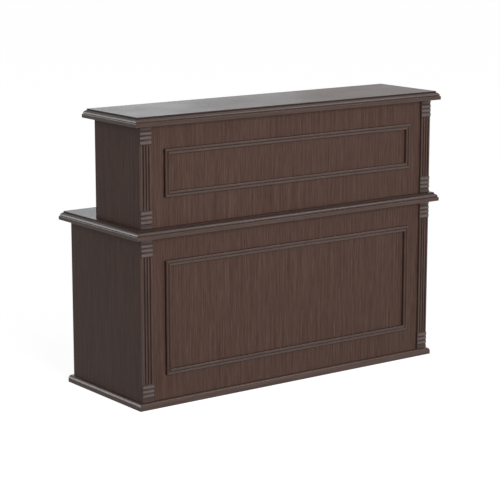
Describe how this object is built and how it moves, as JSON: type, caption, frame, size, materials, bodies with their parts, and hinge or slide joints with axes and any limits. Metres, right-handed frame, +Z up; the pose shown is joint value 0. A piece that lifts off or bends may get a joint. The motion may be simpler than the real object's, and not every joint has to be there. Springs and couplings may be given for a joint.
{
  "type": "reception desk",
  "caption": "Two-tier reception desk in dark wenge with moulded tops, fluted pilasters, applied frames, plinth, staff-side shelving and kneehole.",
  "frame": {"origin": "on the floor, under the middle of the desk's overall length and depth", "axes": "+X along the desk to the visitor's right, +Y from the visitor to the staff side, +Z up"},
  "size_m": [1.606, 0.609, 1.2],
  "materials": {
    "wenge_panel": "satin dark wenge laminate, fine upright grain",
    "wenge_top": "semi-gloss dark wenge laminate, grain along the desk",
    "wenge_moulding": "satin dark wenge foil, grain along the moulding",
    "beech": "raw turned beech",
    "zinc": "dull zinc plating",
    "steel": "bright zinc-plated steel",
    "brass": "turned",
    "black_plastic": "fine moulded texture"
  },
  "bodies": {
    "desk": {"lower_side_left": "wenge_panel", "lower_side_right": "wenge_panel", "lower_front": "wenge_panel", "upper_side_left": "wenge_panel", "upper_side_right": "wenge_panel", "upper_front": "wenge_panel", "divider": "wenge_panel", "shelf_left": "wenge_panel", "shelf_right": "wenge_panel", "worktop_core": "wenge_top", "counter_core": "wenge_top", "worktop_edge_front": "wenge_moulding", "worktop_edge_back": "wenge_moulding", "worktop_edge_left": "wenge_moulding", "worktop_edge_right": "wenge_moulding", "counter_edge_front": "wenge_moulding", "counter_edge_back": "wenge_moulding", "counter_edge_left": "wenge_moulding", "counter_edge_right": "wenge_moulding", "plinth_front": "wenge_moulding", "plinth_left": "wenge_moulding", "plinth_right": "wenge_moulding", "lower_frame_top": "wenge_moulding", "lower_frame_bottom": "wenge_moulding", "lower_frame_left": "wenge_moulding", "lower_frame_right": "wenge_moulding", "upper_frame_top": "wenge_moulding", "upper_frame_bottom": "wenge_moulding", "upper_frame_left": "wenge_moulding", "upper_frame_right": "wenge_moulding", "lower_left_pilaster_base": "wenge_moulding", "lower_left_pilaster_shaft": "wenge_moulding", "lower_left_pilaster_capital": "wenge_moulding", "lower_right_pilaster_base": "wenge_moulding", "lower_right_pilaster_shaft": "wenge_moulding", "lower_right_pilaster_capital": "wenge_moulding", "upper_left_pilaster_base": "wenge_moulding", "upper_left_pilaster_shaft": "wenge_moulding", "upper_left_pilaster_capital": "wenge_moulding", "upper_right_pilaster_base": "wenge_moulding", "upper_right_pilaster_shaft": "wenge_moulding", "upper_right_pilaster_capital": "wenge_moulding", "dowels": "beech", "cams": "zinc", "angle_brackets": "zinc", "cam_bolts": "steel", "bracket_screws": "steel", "shelf_pins": "steel", "glide_inserts": "brass", "outlet_ring_left": "black_plastic", "outlet_ring_right": "black_plastic"},
    "glide_left_front": {"glide_left_front": "black_plastic"},
    "glide_left_back": {"glide_left_back": "black_plastic"},
    "glide_right_front": {"glide_right_front": "black_plastic"},
    "glide_right_back": {"glide_right_back": "black_plastic"},
    "outlet_cap_left": {"outlet_cap_left": "black_plastic"},
    "outlet_cap_right": {"outlet_cap_right": "black_plastic"}
  },
  "joints": [
    {"name": "glide_left_front_screw", "type": "slide", "parent": "desk", "child": "glide_left_front", "axis": [0, 0, -1], "range_m": [0, 0.01]},
    {"name": "glide_left_back_screw", "type": "slide", "parent": "desk", "child": "glide_left_back", "axis": [0, 0, -1], "range_m": [0, 0.01]},
    {"name": "outlet_cap_left_swivel", "type": "hinge", "parent": "desk", "child": "outlet_cap_left", "pos_m": [-0.56, 0.127, 0.745], "axis": [0, 0, 1], "continuous": true},
    {"name": "glide_right_front_screw", "type": "slide", "parent": "desk", "child": "glide_right_front", "axis": [0, 0, -1], "range_m": [0, 0.01]},
    {"name": "glide_right_back_screw", "type": "slide", "parent": "desk", "child": "glide_right_back", "axis": [0, 0, -1], "range_m": [0, 0.01]},
    {"name": "outlet_cap_right_swivel", "type": "hinge", "parent": "desk", "child": "outlet_cap_right", "pos_m": [0.56, 0.127, 0.745], "axis": [0, 0, 1], "continuous": true}
  ]
}
